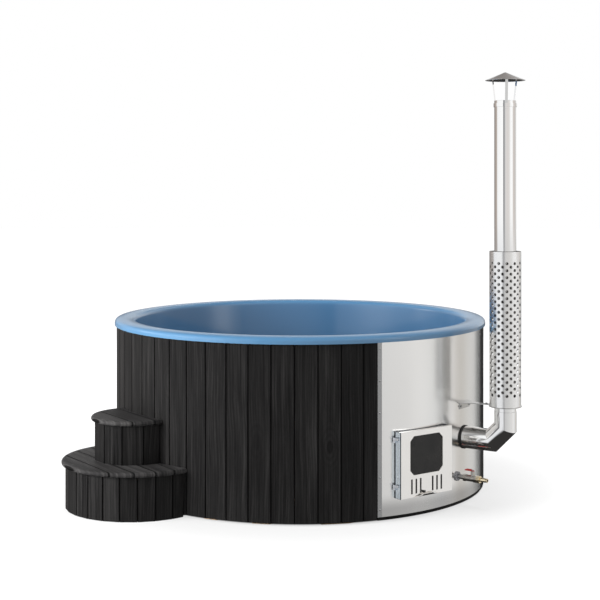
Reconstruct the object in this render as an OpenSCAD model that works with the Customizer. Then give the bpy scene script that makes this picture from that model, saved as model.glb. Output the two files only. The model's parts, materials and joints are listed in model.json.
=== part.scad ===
/* [Tub] */
// Radius of the tub to the outer face of its cladding
tub_r = 1100; // [1060:5:1200]
// Height of the crest of the rim above the ground
rim_z = 992; // [960:1:1060]
// Thickness of the moulded liner
liner_t = 8; // [6:0.5:9]
// How far the rim stands out past the cladding
rim_overhang = 11.5; // [11:0.5:16]
// Width of the rim seen from above
rim_w = 121; // [116:1:140]
// Depth of the outer lip of the rim
rim_lip = 40; // [36:1:50]
// Room between the stove and the bench above it
bench_gap = 12; // [12:1:40]
// Radius of the foot well as a share of the radius of the tub
well_share = 0.6091; // [0.59:0.001:0.62]
// Height of the foot well's floor above the ground
floor_z = 120; // [114:1:126]

/* [Cladding] */
// Number of boards that a full circle would take
board_count = 56; // [48:1:64]
// Thickness of a board
board_t = 28; // [22:1:30]
// Gap between neighbouring boards
board_gap = 1; // [0.5:0.1:2]
// Width of the bevel along the edges of a board
bevel = 3; // [1:0.5:5]
// Height of the lower ends of the boards above the ground
board_foot = 12; // [6:1:20]
// Height of a hoop
hoop_h = 30; // [24:1:36]
// Width of a hoop
hoop_w = 40; // [30:1:42]

/* [Base] */
// Height of a joist
joist_h = 45; // [36:1:50]
// Width of a joist
joist_w = 70; // [50:1:90]
// Number of joists
joist_count = 9; // [7:2:11]

/* [Front panel] */
// Angle that the steel panel takes of the wall
panel_span = 49.6; // [48:0.1:52]
// Turn of the middle of the panel from the fire door
panel_az = 9.7; // [9:0.1:11]
// Thickness of the sheet of the panel
panel_t = 2; // [1:0.1:3]
// Height of the lower edge of the panel above the ground
panel_z = 26; // [18:1:34]
// Width of the strip along each side of the panel
trim_w = 25; // [20:1:32]

/* [Fire door] */
// Width of the door
door_w = 372; // [360:1:376]
// Height of the door
door_h = 355; // [350:1:360]
// Height of the lower edge of the door above the ground
door_z = 118; // [114:1:120]
// Distance of the face of the door from the middle of the tub, past the radius of the tub
door_proud = 33; // [30:1:40]
// Depth of the folded sides of the door
door_depth = 22; // [20:1:26]
// Thickness of the sheet of the door
door_t = 2.5; // [2:0.1:3]
// Distance from the side of the door to the window
window_side = 68.5; // [64:0.5:86]
// Height of the window's lower edge above the lower edge of the door
window_rise = 118; // [115:1:140]
// Size of the cut corners of the window
window_cut = 26; // [16:1:34]
// Width of a vent slot
slot_w = 11; // [8:0.5:12]
// Height of a vent slot
slot_h = 78; // [60:1:79]
// Distance from one vent slot to the next
slot_pitch = 31.5; // [28:0.5:33]
// Distance that the air slide travels
slide_travel = 16; // [12:0.5:17]

/* [Stove] */
// Width of the fire chamber
fire_w = 286; // [270:1:290]
// Room between the stove and the wall of the foot well
stove_gap = 97; // [93:1:113]
// Thickness of the plate of the stove
fire_t = 4; // [3:0.5:5]
// Width of the water space round the fire chamber
jacket_gap = 18; // [14:1:20]

/* [Flue] */
// Radius of the flue pipe
flue_r = 60; // [55:0.5:65]
// Thickness of the wall of the flue pipe
flue_t = 1.5; // [1:0.1:2.5]
// Turn of the flue from the fire door
flue_az = 20; // [19:0.5:21]
// Height of the flue's outlet above the ground
flue_z = 372; // [366:1:380]
// Distance of the upright flue from the middle of the tub, past the radius of the tub
flue_out = 248; // [240:1:280]
// Height of the top of the flue above the ground
flue_top = 2249; // [2100:1:2500]
// Radius of the perforated guard
guard_r = 87; // [84:0.5:95]
// Height of the lower end of the guard above the ground
guard_z = 570; // [560:1:600]
// Length of the guard
guard_h = 850; // [700:1:1000]
// Radius of a hole in the guard
hole_r = 8.5; // [5:0.5:9]
// Distance from one hole to the next up the guard
hole_pitch = 38; // [36:0.1:44]
// Number of columns of holes round the guard
hole_columns = 24; // [16:2:26]
// Radius of the rain cap
cap_r = 110; // [100:1:130]
// Height of the cone of the rain cap
cap_h = 44; // [30:1:60]
// Height of the gap between the flue and the rain cap
cap_gap = 112; // [80:1:140]

/* [Drain] */
// Turn of the drain from the fire door
drain_az = 15.5; // [15.3:0.1:16]
// Height of the drain above the ground
drain_z = 167; // [162:1:180]
// Radius of the drain pipe outside the panel
drain_r = 13; // [10:0.5:15]
// Radius of the hose tail
tail_r = 11; // [8:0.5:13]

/* [Steps] */
// Turn of the steps from the fire door
step_az = -92.5; // [-130:0.5:-60]
// Radius of the lower drum
low_r = 397; // [360:1:430]
// Height of the lower tread
low_z = 265; // [230:1:290]
// Radius of the upper drum
high_r = 217; // [190:1:240]
// Distance of the middle of the upper drum from the middle of the tub, past the radius of the tub
high_out = 20; // [0:1:30]
// Height of the upper tread
high_z = 505; // [450:1:540]
// Thickness of a tread
tread_t = 27; // [20:1:32]
// How far a tread stands out past its drum
tread_nose = 24; // [16:1:30]
// Thickness of a stave of the steps
stave_t = 20; // [15:1:26]

/* [Hidden] */

// Overrun of every cut past the face that it opens
over = 1;
// Clearance of pieces that pass through one another without turning
fit = 0.3;
// Clearance of a pin that turns in its hole
run_fit = 0.05;
wall_fn = 240;
round_fn = 96;
fine_fn = 36;

// Liner
well_r = tub_r * well_share;
wall_lean = 40;
roll_r = 22;
crown_r = 200;
crown_angle = 11;
inner_roll_r = 28;
bench_fillet = 60;
seat_r = 40;
well_fillet = 16;
lip_r = tub_r + rim_overhang;
rim_in_r = lip_r - rim_w;
rim_mid_r = lip_r - rim_w / 2;
crest_z = rim_z + crown_r * (1 / cos(crown_angle) - 1);
shoulder_z = crest_z - rim_w / 2 * tan(crown_angle);
bench_out_r = rim_in_r - wall_lean;

// Cladding
pitch = 360 / board_count;
inner_face = tub_r - board_t;
lip_cover = 8;
board_top = rim_z - rim_lip + lip_cover;
panel_half = panel_span / 2;
side_share = 0.3;
full_boards = 2 * floor(((360 - panel_span) / pitch - 1 - 2 * side_share) / 2) + 1;
clad_turn = 180 + panel_az;
side_angle = (360 - panel_span - full_boards * pitch) / 2;
clad_corner = norm([tub_r, tub_r * tan(pitch / 2)]);
hoop_in_r = inner_face - hoop_w;
low_hoop_z = joist_h;
joist_pitch = 2 * (inner_face - over) / joist_count;
top_hoop_z = board_top - hoop_h;
batten_w = 40;
plinth_z = 8;
plinth_inset = asin((panel_t + 2 * fit) / inner_face);
screw_r = 5;
screw_t = 2;
screw_count = 6;
screw_edge = 40;

// Foam under the foot well
foam_t = floor_z - liner_t - joist_h;
foam_r = well_r - well_fillet;

// Door, in a frame that stands out of the panel
door_y = tub_r + door_proud;
split_y = door_y - door_depth;
split_gap = 1;
frame_y = split_y - split_gap;
frame_t = 3;
frame_lip = 15;
frame_in = frame_t + frame_lip;
mouth_w = door_w - 2 * frame_in;
mouth_h = door_h - 2 * frame_in;
mouth_z = door_z + frame_in;
fire_in = 60;
fire_y = tub_r - fire_in;
window_drop = 29;
window_h = door_h - window_drop - window_rise;
window_z = door_z + window_rise;
slot_rise = 19;
slot_z = door_z + slot_rise;
slot_first = 43.5;
seal_t = 2;
glass_t = 4;
retainer_t = 2;
glass_lap = 8;
slide_t = 2;
slide_rail_h = 6;
slide_lap = 5;
slide_end = 8;
slide_z = slot_z - slide_lap;
slide_h = slot_h + 2 * slide_lap;
slide_half = slot_first + 2 * slot_pitch + slot_w / 2 + slide_end;
window_w = door_w - 2 * window_side;
knob_x = -28;
knob_rise = 25;
knob_z = door_z + knob_rise;
knob_r = 6.5;
knob_len = 14;
knob_stem_r = 3;
lip_w = 200;
lip_reach = 15;
lip_t = 2.5;
lip_plan_r = (lip_w * lip_w / 4 + lip_reach * lip_reach) / (2 * lip_reach);
rope = 9;
hinge_side = 12;
hinge_gap = 10.97;
hinge_x = -(door_w / 2 + hinge_side);
hinge_y = sqrt(tub_r * tub_r - hinge_x * hinge_x) + hinge_gap;
knuckle_r = 6.5;
knuckle_h = 14;
pin_r = 3;
leaf_t = 3;
hinge_rise = 46;
hinge_drop = 58;
hinge_low = door_z + hinge_rise;
hinge_high = door_z + door_h - hinge_drop;
catch_w = 24;
tongue_t = 2;
tongue_reach = 24;

// Stove
jacket_t = 3;
fire_d = fire_y - 2 * fire_t - jacket_gap - jacket_t - stove_gap - liner_t - well_r;
jacket_w = fire_w + 2 * (fire_t + jacket_gap + jacket_t);
jacket_z = mouth_z - fire_t - jacket_gap - jacket_t;
jacket_top = mouth_z + mouth_h + fire_t + jacket_gap + jacket_t;
jacket_back = fire_y - fire_t - fire_d - fire_t - jacket_gap - jacket_t;
smoke_in = 92;
smoke_depth = 208;
smoke_out_r = tub_r - smoke_in;
smoke_in_r = smoke_out_r - smoke_depth;
smoke_t = 3;
smoke_below = 102;
smoke_above = 108;
smoke_z = flue_z - smoke_below;
smoke_top = flue_z + smoke_above;
bench_z = max(jacket_top, smoke_top) + bench_gap + liner_t;
mid_hoop_z = bench_z + liner_t;
smoke_az = 30;
duct_h = 100;
duct_z = flue_z - 0.42 * duct_h;
duct_in = 52;
duct_front = fire_y - duct_in;
duct_d = 130;
stand_w = 30;
stand_past = 45;
stand_front = hoop_in_r - stand_w;
stand_back = jacket_back - stand_past;
pan_h = 44;
pan_t = 2;
pan_gap = 8;
grate_rise = 64;
grate_z = mouth_z + grate_rise;
ledge = 6;
grate_t = 10;
grate_bar = 12;
grate_bars = 9;
water_az = 7.5;
water_r = 25;
water_t = 2;
water_rise = 84;
water_drop = 65;
// Turn and height of each water port
water_ports = [[-water_az, jacket_z + water_rise], [water_az, jacket_top - water_drop]];
grille_r = 44;
grille_t = 4;
grille_hole_r = 4;

// Flue
flue_d = tub_r + flue_out;
elbow_leg = 79;
elbow_rise = 168;
elbow_top = flue_z + elbow_rise;
elbow_r = flue_r + flue_t + fit;
socket = 40;
seal_w = 8;
seal_proud = 3.5;
guard_t = 1.5;
guard_first = 64.5;
guard_last = 62;
hole_rows = floor((guard_h - guard_first - guard_last) / hole_pitch) + 1;
spacer_w = 14;
spacer_h = 12;
spacer_drop = 15;
bend_drop = 3;
cap_t = 1.5;
cap_brim_z = flue_top + cap_gap;
cap_slope = cap_h / cap_r;
strap_w = 15;
strap_t = 2;
strap_foot = 45;
strap_top_r = 78;
strap_tab = 20;
band_w = 20;
band_t = 1.5;
band_drop = 35;
strap_turn = -60;

// Chimney bracket
bracket_t = 5;
bracket_z = guard_z - bracket_t;
arm_w = 36;
foot_w = 124;
foot_h = 30;
foot_reach = 62;
foot_bolt = 53;
foot_drop = 14;
bolt_r = 4;
bolt_head_r = 7;
bolt_head_t = 6;
arm_bolt_out = 135;
arm_bolt_d = tub_r + arm_bolt_out;
ring_rim = 3;

// Drain
drain_tube_r = 20;
drain_tube_t = 2;
flange_r = 26;
flange_t = 8;
nipple_len = 44;
body_len = 83;
body_r = 18;
hex_r = 21;
hex_len = 18;
plug_r = 9;
plug_below = 10;
plug_bore = 5.5;
stem_r = 4;
stem_place = 56;
neck_t = 3;
lever_z = 41;
lever_len = 52;
lever_w = 18;
lever_t = 3;
lever_lip = 8;
nut_r = 7;
nut_h = 5;
tail_len = 65;
tail_bore = 7;
tail_hex_len = 20;
barb_pitch = 9;
barb_r = 1.5;

// Steps
step_fit = 0.5;
wall_cut_r = clad_corner + step_fit;
high_d = tub_r + high_out;
low_staves = 26;
high_staves = 12;
rib_w = 40;
rib_t = 20;
groove_w = 3;
groove_d = 3;
low_planks = 4;
high_planks = 2;

function unit(v) = v / norm(v);
function left_of(v) = [-v[1], v[0]];
// Points of the round corner at p1, set off to the left by o
function corner(p0, p1, p2, r, o, n = 8) =
    let (a = unit(p1 - p0), b = unit(p2 - p1),
         turn = sign(a[0] * b[1] - a[1] * b[0]), half = acos(a * b) / 2,
         centre = p1 - a * r * tan(half) + left_of(a) * turn * r,
         start = atan2(-turn * left_of(a)[1], -turn * left_of(a)[0]))
    [for (i = [0:n]) centre + (r - o * turn) *
        [cos(start + turn * 2 * half * i / n), sin(start + turn * 2 * half * i / n)]];
// A path with round corners, set off to the left by o
function rounded(p, r, o) =
    let (last = len(p) - 1)
    concat(
        [p[0] + left_of(unit(p[1] - p[0])) * o],
        [for (i = [1:last - 1]) each corner(p[i - 1], p[i], p[i + 1], r[i], o)],
        [p[last] + left_of(unit(p[last] - p[last - 1])) * o]);
function reversed(p) = [for (i = [len(p) - 1:-1:0]) p[i]];
// Height of the underside of the rain cap at radius r
function cap_under(r) = cap_brim_z + (cap_r - r) * cap_slope - cap_t;
// Height of the top of a strap at distance r, where its side edges meet the rain cap
function strap_z(r) = cap_under(norm([r, strap_w / 2]));
// Half of the angle that a drum of radius r at distance d keeps outside the wall
function open_half(r, d) = acos((wall_cut_r * wall_cut_r - d * d - r * r) / (2 * d * r));

// Children stand on a spot of the wall, with their Z axis pointing outwards and Y upwards
module outwards(az, d, z) {
    rotate([0, 0, az]) translate([0, -d, z]) rotate([90, 0, 0]) children();
}

// Children stand upright on a radial line, with -Y pointing outwards
module upright(az, d, z = 0) {
    rotate([0, 0, az]) translate([0, -d, z]) children();
}

// A curved block between two radii, two heights and two turns
module sector(r0, r1, z0, z1, az0, az1) {
    rotate([0, 0, az0 - 90]) translate([0, 0, z0])
        rotate_extrude(angle = az1 - az0, $fn = wall_fn) translate([r0, 0]) square([r1 - r0, z1 - z0]);
}

module tube(r, t, h, fn = fine_fn) {
    difference() {
        cylinder(r = r, h = h, $fn = fn);
        translate([0, 0, -over]) cylinder(r = r - t, h = h + 2 * over, $fn = fn);
    }
}

// A block on the front of the tub, from its left side, its front face and its foot
module block(x0, x1, y_front, y_back, z0, z1) {
    translate([x0, -y_front, z0]) cube([x1 - x0, y_front - y_back, z1 - z0]);
}

// A picture frame on the front of the tub
module ring_block(w, h, z, rim, y_front, y_back) {
    difference() {
        block(-w / 2, w / 2, y_front, y_back, z, z + h);
        block(-w / 2 + rim, w / 2 - rim, y_front + over, y_back - over, z + rim, z + h - rim);
    }
}

module floor_joists() {
    color("saddlebrown")
    for (i = [0:joist_count - 1])
        intersection() {
            translate([-tub_r, (i - (joist_count - 1) / 2) * joist_pitch - joist_w / 2, 0])
                cube([2 * tub_r, joist_w, joist_h]);
            cylinder(r = inner_face - over, h = joist_h, $fn = wall_fn);
        }
}

module floor_insulation() {
    color("khaki")
    translate([0, 0, joist_h]) cylinder(r = foam_r, h = foam_t, $fn = wall_fn);
}

module hoop(z) {
    translate([0, 0, z]) rotate_extrude($fn = wall_fn) translate([hoop_in_r, 0]) square([hoop_w, hoop_h]);
}

module lower_hoop() {
    color("peru") hoop(low_hoop_z);
}

module middle_hoop() {
    color("peru") hoop(mid_hoop_z);
}

module upper_hoop() {
    color("peru") hoop(top_hoop_z);
}

// Dark strip that closes the foot of the wall behind the panel
module plinth_strip() {
    color("dimgray")
    sector(inner_face, tub_r - panel_t, plinth_z, low_hoop_z,
           panel_az - panel_half + plinth_inset, panel_az + panel_half - plinth_inset);
}

// Upright battens that fill the depth between the hoops and the panel
module panel_battens() {
    color("peru")
    for (side = [-1, 1])
        upright(panel_az + side * panel_half, 0)
            intersection() {
                translate([side > 0 ? -batten_w - panel_t - 2 * fit : panel_t + 2 * fit, -tub_r, low_hoop_z])
                    cube([batten_w, board_t, board_top - low_hoop_z]);
                difference() {
                    cylinder(r = tub_r - panel_t, h = board_top, $fn = wall_fn);
                    translate([0, 0, -over])
                        cylinder(r = inner_face, h = board_top + 2 * over, $fn = wall_fn);
                }
            }
}

// One upright board with bevelled edges, across the given angle
module board(angle) {
    half_in = inner_face * tan(angle / 2) - board_gap / 2;
    half_out = (tub_r - bevel) * tan(angle / 2) - board_gap / 2;
    translate([0, 0, board_foot])
        linear_extrude(board_top - board_foot)
            polygon([
                [-half_in, -inner_face], [-half_out, -tub_r + bevel], [-half_out + bevel, -tub_r],
                [half_out - bevel, -tub_r], [half_out, -tub_r + bevel], [half_in, -inner_face]
            ]);
}

module cladding_boards() {
    color("dimgray") {
        for (i = [0:full_boards - 1])
            rotate([0, 0, clad_turn + (i - (full_boards - 1) / 2) * pitch]) board(pitch);
        for (side = [-1, 1])
            rotate([0, 0, panel_az + side * (panel_half + side_angle / 2)]) board(side_angle);
    }
}

// One moulding: rolled rim, wall, bench and foot well
module tub_liner() {
    path = [
        [lip_r, rim_z - rim_lip], [lip_r, shoulder_z], [rim_mid_r, crest_z], [rim_in_r, shoulder_z],
        [bench_out_r, bench_z], [well_r, bench_z], [well_r, floor_z], [0, floor_z]
    ];
    radii = [0, roll_r, crown_r, inner_roll_r, bench_fillet, seat_r, well_fillet, 0];
    color("steelblue")
    difference() {
        rotate_extrude($fn = wall_fn)
            polygon(concat(rounded(path, radii, 0), reversed(rounded(path, radii, liner_t))));
        for (port = water_ports)
            outwards(port[0], well_r - over, port[1])
                cylinder(r = water_r + fit, h = liner_t + 2 * over, $fn = fine_fn);
        outwards(drain_az, well_r - over, drain_z)
            cylinder(r = drain_tube_r + fit, h = liner_t + 2 * over, $fn = fine_fn);
    }
}

// Curved sheet with folded sides, open for the door, the flue and the drain
module steel_panel() {
    color("silver")
    difference() {
        union() {
            sector(tub_r - panel_t, tub_r, panel_z, board_top, panel_az - panel_half, panel_az + panel_half);
            for (side = [-1, 1])
                upright(panel_az + side * panel_half, tub_r - panel_t - fit, panel_z)
                    translate([side > 0 ? -panel_t - fit : fit, 0, 0])
                        cube([panel_t, board_t - panel_t - fit, board_top - panel_z]);
        }
        block(-door_w / 2 - fit, door_w / 2 + fit, tub_r + over, inner_face - hoop_w,
              door_z - fit, door_z + door_h + fit);
        outwards(flue_az, hoop_in_r, flue_z)
            cylinder(r = elbow_r + fit, h = tub_r, $fn = fine_fn);
        outwards(drain_az, hoop_in_r, drain_z)
            cylinder(r = drain_tube_r + fit, h = tub_r, $fn = fine_fn);
    }
}

module panel_trims() {
    color("gainsboro")
    for (side = [-1, 1]) {
        a = panel_az + side * panel_half;
        b = a - side * trim_w / tub_r * 180 / PI;
        sector(tub_r, tub_r + panel_t, panel_z, board_top, min(a, b), max(a, b));
    }
}

module panel_screws() {
    color("whitesmoke")
    for (side = [-1, 1], i = [0:screw_count - 1])
        outwards(panel_az + side * (panel_half - trim_w / 2 / tub_r * 180 / PI), tub_r + panel_t,
                 panel_z + screw_edge + i * (board_top - panel_z - 2 * screw_edge) / (screw_count - 1))
            intersection() {
                cylinder(r = screw_r, h = screw_t, $fn = fine_fn);
                translate([0, 0, screw_t - 2 * screw_r]) sphere(r = 2 * screw_r, $fn = fine_fn);
            }
}

// Two runners that carry the stove on the joists
module stove_stand() {
    color("dimgray")
    for (side = [-1, 1])
        translate([side * (jacket_w / 2 - stand_w / 2) - stand_w / 2, -stand_front, joist_h])
            cube([stand_w, stand_front - stand_back, jacket_z - joist_h]);
}

// Opening from the fire chamber to the smoke box
module duct_cut(margin) {
    block(fire_w / 2 - over, jacket_w / 2 + over, duct_front + margin, duct_front - duct_d - margin,
          duct_z - margin, duct_z + duct_h + margin);
}

module fire_chamber() {
    color("slategray")
    difference() {
        union() {
            block(-door_w / 2, door_w / 2, fire_y, fire_y - fire_t, jacket_z, jacket_top);
            block(-fire_w / 2 - fire_t, fire_w / 2 + fire_t, fire_y, fire_y - 2 * fire_t - fire_d,
                  mouth_z - fire_t, mouth_z + mouth_h + fire_t);
        }
        block(-fire_w / 2, fire_w / 2, fire_y + over, fire_y - fire_t - fire_d, mouth_z, mouth_z + mouth_h);
        duct_cut(smoke_t + fit);
    }
    // Ledges that carry the grate
    color("slategray")
    for (side = [-1, 1])
        block(side > 0 ? fire_w / 2 - ledge : -fire_w / 2, side > 0 ? fire_w / 2 : -fire_w / 2 + ledge,
              fire_y - fire_t - ledge, fire_y - fire_t - fire_d, grate_z - ledge, grate_z);
}

// Outer shell of the water space, with holes for the two water pipes
module water_jacket() {
    color("silver")
    difference() {
        block(-jacket_w / 2, jacket_w / 2, fire_y - fire_t, jacket_back, jacket_z, jacket_top);
        block(-jacket_w / 2 + jacket_t, jacket_w / 2 - jacket_t, fire_y - fire_t + over,
              jacket_back + jacket_t, jacket_z + jacket_t, jacket_top - jacket_t);
        duct_cut(smoke_t + fit);
        for (port = water_ports)
            outwards(port[0], well_r, port[1])
                cylinder(r = water_r + fit, h = jacket_back - well_r + hoop_w, $fn = fine_fn);
    }
}

module smoke_shape(inset) {
    difference() {
        sector(smoke_in_r + inset, smoke_out_r - inset, smoke_z + inset, smoke_top - inset,
               0, smoke_az - asin(inset / smoke_in_r));
        translate([-tub_r, -tub_r, 0]) cube([tub_r + jacket_w / 2 + inset, tub_r, tub_r]);
    }
}

// Chamber beside the stove that takes the smoke to the flue
module smoke_box() {
    color("gray")
    difference() {
        union() {
            smoke_shape(0);
            block(fire_w / 2, jacket_w / 2 + smoke_t, duct_front + smoke_t, duct_front - duct_d - smoke_t,
                  duct_z - smoke_t, duct_z + duct_h + smoke_t);
        }
        smoke_shape(smoke_t);
        block(fire_w / 2 - over, jacket_w / 2 + smoke_t + over, duct_front, duct_front - duct_d,
              duct_z, duct_z + duct_h);
        outwards(flue_az, smoke_out_r - hoop_w, flue_z)
            cylinder(r = elbow_r + fit, h = 2 * hoop_w, $fn = fine_fn);
    }
}

// Cast grid that lies on the ledges of the fire chamber
module fire_grate() {
    bar_room = fire_w - 2 * fit - 2 * grate_bar;
    step = bar_room / (grate_bars - 1);
    color("darkslategray") {
        for (y = [fire_y - fire_t - grate_bar, fire_y - fire_t - fire_d + grate_bar * 2])
            block(-fire_w / 2 + fit, fire_w / 2 - fit, y, y - grate_bar, grate_z, grate_z + grate_t);
        for (i = [0:grate_bars - 1])
            block(-bar_room / 2 + i * step - grate_bar / 2, -bar_room / 2 + i * step + grate_bar / 2,
                  fire_y - fire_t - grate_bar, fire_y - fire_t - fire_d + grate_bar,
                  grate_z, grate_z + grate_t);
    }
}

module ash_pan() {
    front = fire_y - fire_t - 2 * pan_gap;
    back = fire_y - fire_t - fire_d + pan_gap;
    color("dimgray") {
        difference() {
            block(-fire_w / 2 + pan_gap, fire_w / 2 - pan_gap, front, back, mouth_z, mouth_z + pan_h);
            block(-fire_w / 2 + pan_gap + pan_t, fire_w / 2 - pan_gap - pan_t, front - pan_t, back + pan_t,
                  mouth_z + pan_t, mouth_z + pan_h + over);
        }
        block(-pan_h / 2, pan_h / 2, front + pan_gap, front, mouth_z + pan_h - 2 * pan_t, mouth_z + pan_h);
    }
}

module water_pipes() {
    color("silver")
    for (port = water_ports)
        outwards(port[0], well_r, port[1])
            tube(water_r, water_t, jacket_back / cos(water_az) - well_r + water_r * tan(water_az) + jacket_t);
}

// A round plate that follows the inside of the foot well, full of small holes
module well_plate(az, z, r, hole) {
    difference() {
        intersection() {
            sector(well_r - grille_t, well_r, z - r, z + r, az - 8, az + 8);
            outwards(az, well_r - 3 * grille_t, z) cylinder(r = r, h = 4 * grille_t, $fn = fine_fn);
        }
        for (ring = [0:2], i = [0:max(1, 6 * ring) - 1])
            outwards(az, well_r - 3 * grille_t, z)
                rotate([0, 0, i * 60 / max(1, ring)]) translate([ring * r / 3.6, 0, 0])
                    cylinder(r = hole, h = 4 * grille_t, $fn = fine_fn);
    }
}

module water_grilles() {
    color("silver")
    for (port = water_ports) well_plate(port[0], port[1], grille_r, grille_hole_r);
}

// Box that carries the door, with a lip turned in round its mouth
module door_frame() {
    color("silver") {
        ring_block(door_w, door_h, door_z, frame_t, frame_y, fire_y);
        ring_block(door_w, door_h, door_z, frame_in, frame_y, frame_y - frame_t);
    }
}

// Fixed halves of the two hinges
module hinge_leaves() {
    color("gainsboro")
    for (z = [hinge_low, hinge_high])
        difference() {
            union() {
                translate([hinge_x, -hinge_y, z]) cylinder(r = knuckle_r, h = knuckle_h, $fn = fine_fn);
                translate([hinge_x, -hinge_y - leaf_t / 2, z])
                    cube([-door_w / 2 - hinge_x, leaf_t, knuckle_h]);
            }
            translate([hinge_x, -hinge_y, z - over])
                cylinder(r = pin_r, h = knuckle_h + 2 * over, $fn = fine_fn);
        }
}

module hinge_pins() {
    color("whitesmoke")
    for (z = [hinge_low, hinge_high])
        translate([hinge_x, -hinge_y, z])
            cylinder(r = pin_r, h = 2 * knuckle_h + fit, $fn = fine_fn);
}

// Spring clip in the mouth of the frame that holds the tongue of the door
module door_catch() {
    color("gainsboro")
    for (side = [-1, 1])
        translate([door_w / 2 - frame_in - catch_w, -frame_y, door_z + door_h / 2
                   + side * (tongue_t / 2 + fit) - (side < 0 ? tongue_t : 0)])
            cube([catch_w, tongue_reach, tongue_t]);
}

module octagon(w, h, cut) {
    polygon([
        [-w / 2 + cut, 0], [w / 2 - cut, 0], [w / 2, cut], [w / 2, h - cut],
        [w / 2 - cut, h], [-w / 2 + cut, h], [-w / 2, h - cut], [-w / 2, cut]
    ]);
}

// A sheet with cut corners that stands upright, from its front face
module octagon_sheet(w, h, cut, z, y_front, t) {
    translate([0, -y_front + t, z]) rotate([90, 0, 0]) linear_extrude(t) octagon(w, h, cut);
}

function slot_places() = [for (side = [-1, 1], i = [0:2]) side * (slot_first + i * slot_pitch)];

// Folded steel door, open for the window, the vent slots and the stem of the knob
module door_panel() {
    color("silver")
    difference() {
        block(-door_w / 2, door_w / 2, door_y, split_y, door_z, door_z + door_h);
        block(-door_w / 2 + door_t, door_w / 2 - door_t, door_y - door_t, split_y - over,
              door_z + door_t, door_z + door_h - door_t);
        octagon_sheet(window_w, window_h, window_cut, window_z, door_y + over, door_t + 2 * over);
        for (x = slot_places())
            block(x - slot_w / 2, x + slot_w / 2, door_y + over, door_y - door_t - over,
                  slot_z, slot_z + slot_h);
        block(knob_x - knob_stem_r - fit, knob_x + slide_travel + knob_stem_r + fit, door_y + over,
              door_y - door_t - over, knob_z - knob_stem_r - fit, knob_z + knob_stem_r + fit);
    }
}

// Turning halves of the two hinges, with the arms that reach round to the door
module door_knuckles() {
    arm_y = split_y + door_depth / 2;
    color("gainsboro")
    for (z = [hinge_low, hinge_high])
        difference() {
            translate([0, 0, z + knuckle_h + fit]) union() {
                translate([hinge_x, -hinge_y, 0]) cylinder(r = knuckle_r, h = knuckle_h, $fn = fine_fn);
                translate([hinge_x - leaf_t / 2, -arm_y, 0])
                    cube([leaf_t, arm_y - hinge_y, knuckle_h]);
                translate([hinge_x - leaf_t / 2, -arm_y, 0])
                    cube([-door_w / 2 - hinge_x + leaf_t / 2, leaf_t, knuckle_h]);
            }
            translate([hinge_x, -hinge_y, z]) cylinder(r = pin_r + run_fit, h = 3 * knuckle_h, $fn = fine_fn);
        }
}

module window_ring(y_front, t) {
    difference() {
        octagon_sheet(window_w + 2 * glass_lap, window_h + 2 * glass_lap, window_cut,
                      window_z - glass_lap, y_front, t);
        octagon_sheet(window_w, window_h, window_cut, window_z, y_front + over, t + 2 * over);
    }
}

module window_seal() {
    color("dimgray") window_ring(door_y - door_t, seal_t);
}

module window_glass() {
    color("black")
    octagon_sheet(window_w + 2 * glass_lap, window_h + 2 * glass_lap, window_cut,
                  window_z - glass_lap, door_y - door_t - seal_t, glass_t);
}

// Frame behind the glass, held by four tabs that reach forward to the door
module window_retainer() {
    y = door_y - door_t - seal_t - glass_t;
    tab_x = window_w / 2 + glass_lap;
    color("silver") {
        window_ring(y, retainer_t);
        for (side = [-1, 1], z = [window_z + window_h / 4, window_z + 3 * window_h / 4]) {
            block(side * tab_x - glass_lap, side * tab_x + glass_lap,
                  y, y - retainer_t, z - glass_lap, z + glass_lap);
            block(side > 0 ? tab_x + fit : -tab_x - glass_lap, side > 0 ? tab_x + glass_lap : -tab_x - fit,
                  door_y - door_t, y, z - glass_lap, z + glass_lap);
        }
    }
}

// Rope that closes the gap between the door and the lip of its frame
module door_rope_seal() {
    color("whitesmoke")
    ring_block(door_w - 2 * door_t, door_h - 2 * door_t, door_z + door_t, rope,
               frame_y + rope + fit, frame_y + fit);
}

// Curved finger lip along the lower edge of the door
module door_lip() {
    color("gainsboro")
    intersection() {
        translate([-lip_w / 2, -door_y, door_z + lip_reach]) rotate([0, 90, 0])
            tube(lip_reach, lip_t, lip_w);
        block(-lip_w / 2, lip_w / 2, door_y + lip_reach, door_y, door_z, door_z + lip_reach);
        translate([0, lip_plan_r - lip_reach - door_y, door_z - over])
            cylinder(r = lip_plan_r, h = lip_reach + 2 * over, $fn = wall_fn);
    }
}

// Tongue on the back of the door that goes into the catch
module door_striker() {
    x1 = door_w / 2 - frame_in - rope;
    x0 = x1 - catch_w / 2;
    base_y = door_y - door_t;
    z = door_z + door_h / 2;
    color("gainsboro") {
        block(x0, x1, base_y, frame_y - tongue_reach / 2, z - tongue_t / 2, z + tongue_t / 2);
        block(x0, x1, base_y, base_y - tongue_t, z - 3 * tongue_t, z + 3 * tongue_t);
    }
}

// Rails that hold the air slide against the back of the door
module slide_rails() {
    y = door_y - door_t;
    half = slide_half + slide_travel;
    color("gray")
    for (side = [-1, 1]) {
        foot = side < 0 ? slide_z - fit - slide_rail_h : slide_z + slide_h + fit;
        catch_z = side < 0 ? foot : foot - slide_rail_h / 2;
        block(-half, half, y, y - slide_t - 2 * fit, foot, foot + slide_rail_h);
        block(-half, half, y - slide_t - 2 * fit, y - 2 * slide_t - 2 * fit,
              catch_z, catch_z + 1.5 * slide_rail_h);
    }
}

// Plate with the same slots as the door, which closes them as it moves
module air_slide() {
    y = door_y - door_t - fit;
    color("gray")
    difference() {
        block(-slide_half, slide_half, y, y - slide_t, slide_z, slide_z + slide_h);
        for (x = slot_places())
            block(x - slot_w / 2, x + slot_w / 2, y + over, y - slide_t - over, slot_z, slot_z + slot_h);
    }
}

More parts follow.
